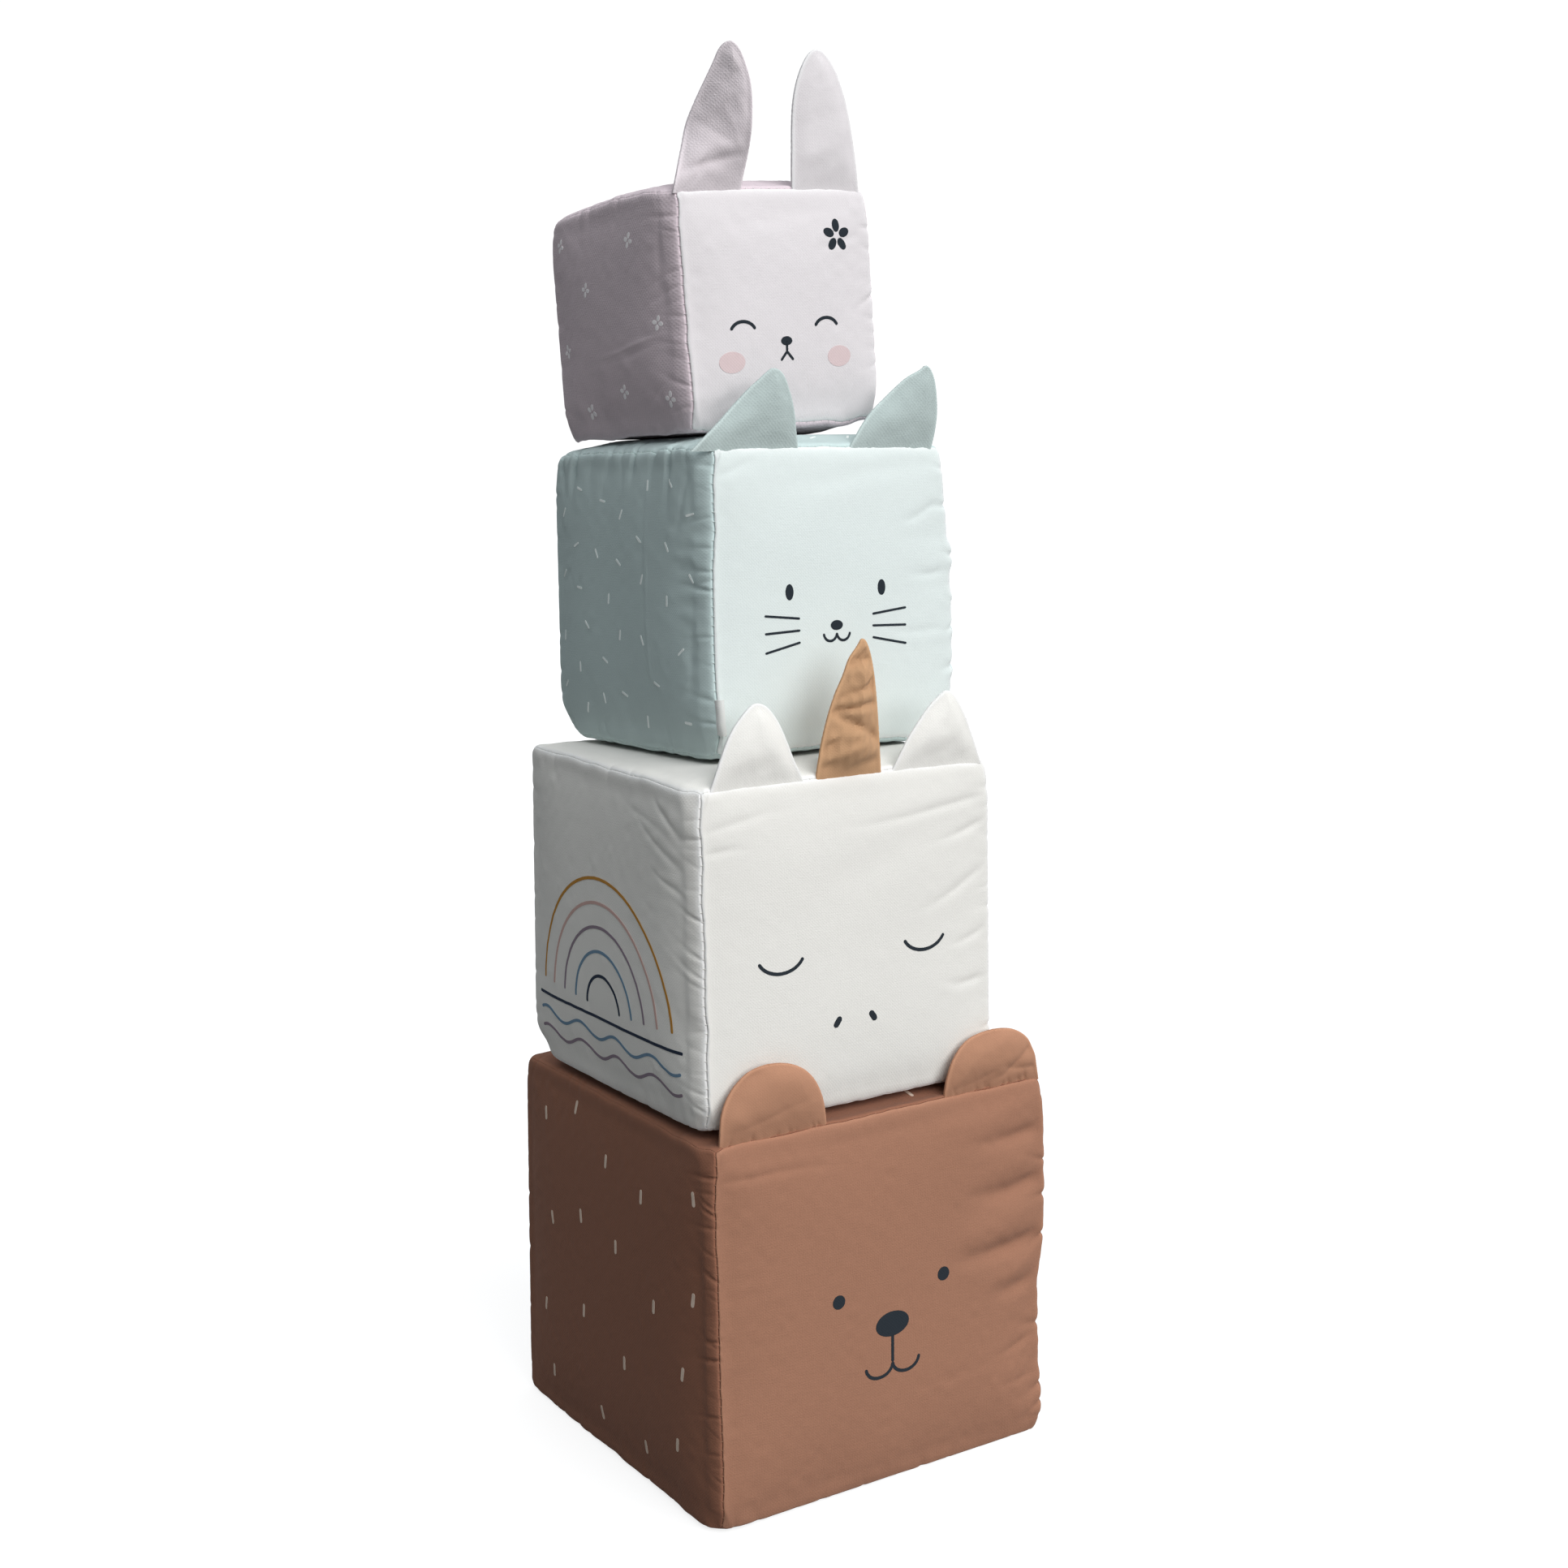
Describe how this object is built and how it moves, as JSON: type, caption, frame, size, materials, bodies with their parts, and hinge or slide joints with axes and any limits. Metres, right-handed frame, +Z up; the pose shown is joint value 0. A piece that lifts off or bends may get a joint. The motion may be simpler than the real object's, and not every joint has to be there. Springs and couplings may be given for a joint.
{
  "type": "stack of soft fabric blocks",
  "caption": "Tower of soft stuffed fabric cubes, large to small, with sewn ears and a horn along the front top seams and simple animal faces on the fronts.",
  "frame": {"origin": "middle of the flat resting face under the lowest and largest block", "axes": "+Z up through the stack; the fronts with the faces and ears look along -Y; +X is to the right as the fronts are looked at"},
  "size_m": [0.1452, 0.1454, 0.4972],
  "materials": {
    "bear_cloth": "matte",
    "unicorn_cloth": "matte",
    "horn_cloth": "matte",
    "cat_cloth": "matte",
    "cat_ear_cloth": "matte",
    "bunny_cloth": "matte",
    "foam": "matte",
    "wadding": "matte",
    "label": "matte"
  },
  "bodies": {
    "bear_block": {"bear_front_panel": "bear_cloth", "bear_back_panel": "bear_cloth", "bear_left_panel": "bear_cloth", "bear_right_panel": "bear_cloth", "bear_top_panel": "bear_cloth", "bear_bottom_panel": "bear_cloth", "bear_foam_core": "foam", "bear_seam_binding": "bear_cloth"},
    "unicorn_block": {"unicorn_front_panel": "unicorn_cloth", "unicorn_back_panel": "unicorn_cloth", "unicorn_left_panel": "unicorn_cloth", "unicorn_right_panel": "unicorn_cloth", "unicorn_top_panel": "unicorn_cloth", "unicorn_bottom_panel": "unicorn_cloth", "unicorn_foam_core": "foam", "unicorn_seam_binding": "unicorn_cloth"},
    "cat_block": {"cat_front_panel": "cat_cloth", "cat_back_panel": "cat_cloth", "cat_left_panel": "cat_cloth", "cat_right_panel": "cat_cloth", "cat_top_panel": "cat_cloth", "cat_bottom_panel": "cat_cloth", "cat_foam_core": "foam", "cat_seam_binding": "cat_cloth", "cat_label_tag": "label"},
    "bunny_block": {"bunny_front_panel": "bunny_cloth", "bunny_back_panel": "bunny_cloth", "bunny_left_panel": "bunny_cloth", "bunny_right_panel": "bunny_cloth", "bunny_top_panel": "bunny_cloth", "bunny_bottom_panel": "bunny_cloth", "bunny_foam_core": "foam", "bunny_seam_binding": "bunny_cloth"},
    "bear_left_ear": {"bear_left_ear_front": "bear_cloth", "bear_left_ear_back": "bear_cloth", "bear_left_ear_wadding": "wadding"},
    "bear_right_ear": {"bear_right_ear_front": "bear_cloth", "bear_right_ear_back": "bear_cloth", "bear_right_ear_wadding": "wadding"},
    "unicorn_left_ear": {"unicorn_left_ear_front": "unicorn_cloth", "unicorn_left_ear_back": "unicorn_cloth", "unicorn_left_ear_wadding": "wadding"},
    "unicorn_right_ear": {"unicorn_right_ear_front": "unicorn_cloth", "unicorn_right_ear_back": "unicorn_cloth", "unicorn_right_ear_wadding": "wadding"},
    "unicorn_horn": {"unicorn_horn_front": "horn_cloth", "unicorn_horn_back": "horn_cloth", "unicorn_horn_wadding": "wadding"},
    "cat_left_ear": {"cat_left_ear_front": "cat_ear_cloth", "cat_left_ear_back": "cat_ear_cloth", "cat_left_ear_wadding": "wadding"},
    "cat_right_ear": {"cat_right_ear_front": "cat_ear_cloth", "cat_right_ear_back": "cat_ear_cloth", "cat_right_ear_wadding": "wadding"},
    "bunny_left_ear": {"bunny_left_ear_front": "bunny_cloth", "bunny_left_ear_back": "bunny_cloth", "bunny_left_ear_wadding": "wadding"},
    "bunny_right_ear": {"bunny_right_ear_front": "bunny_cloth", "bunny_right_ear_back": "bunny_cloth", "bunny_right_ear_wadding": "wadding"}
  },
  "joints": [
    {"name": "unicorn_lift", "type": "slide", "parent": "bear_block", "child": "unicorn_block", "axis": [0, 0, 1], "range_m": [0, 0.12]},
    {"name": "cat_lift", "type": "slide", "parent": "unicorn_block", "child": "cat_block", "axis": [0, 0, 1], "range_m": [0, 0.12]},
    {"name": "bunny_lift", "type": "slide", "parent": "cat_block", "child": "bunny_block", "axis": [0, 0, 1], "range_m": [0, 0.12]},
    {"name": "bear_left_ear_fold", "type": "hinge", "parent": "bear_block", "child": "bear_left_ear", "pos_m": [-0.0455, -0.07, 0.1355], "axis": [1, 0, 0], "range_deg": [-2, 90], "stiffness_Nm_per_rad": 0.0015},
    {"name": "bear_right_ear_fold", "type": "hinge", "parent": "bear_block", "child": "bear_right_ear", "pos_m": [0.0476, -0.07, 0.1355], "axis": [1, 0, 0], "range_deg": [-2, 90], "stiffness_Nm_per_rad": 0.0015},
    {"name": "unicorn_left_ear_fold", "type": "hinge", "parent": "unicorn_block", "child": "unicorn_left_ear", "pos_m": [-0.04522, -0.06545, 0.2532], "axis": [1, -0.007, 0], "range_deg": [-15, 90], "stiffness_Nm_per_rad": 0.0015},
    {"name": "unicorn_right_ear_fold", "type": "hinge", "parent": "unicorn_block", "child": "unicorn_right_ear", "pos_m": [0.02738, -0.06596, 0.2532], "axis": [1, -0.007, 0], "range_deg": [-15, 90], "stiffness_Nm_per_rad": 0.0015},
    {"name": "unicorn_horn_fold", "type": "hinge", "parent": "unicorn_block", "child": "unicorn_horn", "pos_m": [-0.00922, -0.0657, 0.2532], "axis": [1, -0.007, 0], "range_deg": [-10, 90], "stiffness_Nm_per_rad": 0.004},
    {"name": "cat_left_ear_fold", "type": "hinge", "parent": "cat_block", "child": "cat_left_ear", "pos_m": [-0.03215, -0.0461, 0.3619], "axis": [0.9993, 0.0366, 0], "range_deg": [-12, 90], "stiffness_Nm_per_rad": 0.0015},
    {"name": "cat_right_ear_fold", "type": "hinge", "parent": "cat_block", "child": "cat_right_ear", "pos_m": [0.02781, -0.0439, 0.3619], "axis": [0.9993, 0.0366, 0], "range_deg": [-12, 90], "stiffness_Nm_per_rad": 0.0015},
    {"name": "bunny_left_ear_fold", "type": "hinge", "parent": "bunny_block", "child": "bunny_left_ear", "pos_m": [-0.03724, -0.03179, 0.44554], "axis": [0.9967, 0.0418, 0.0698], "range_deg": [-45, 90], "stiffness_Nm_per_rad": 0.002},
    {"name": "bunny_right_ear_fold", "type": "hinge", "parent": "bunny_block", "child": "bunny_right_ear", "pos_m": [0.0094, -0.02983, 0.44881], "axis": [0.9967, 0.0418, 0.0698], "range_deg": [-45, 90], "stiffness_Nm_per_rad": 0.002}
  ]
}
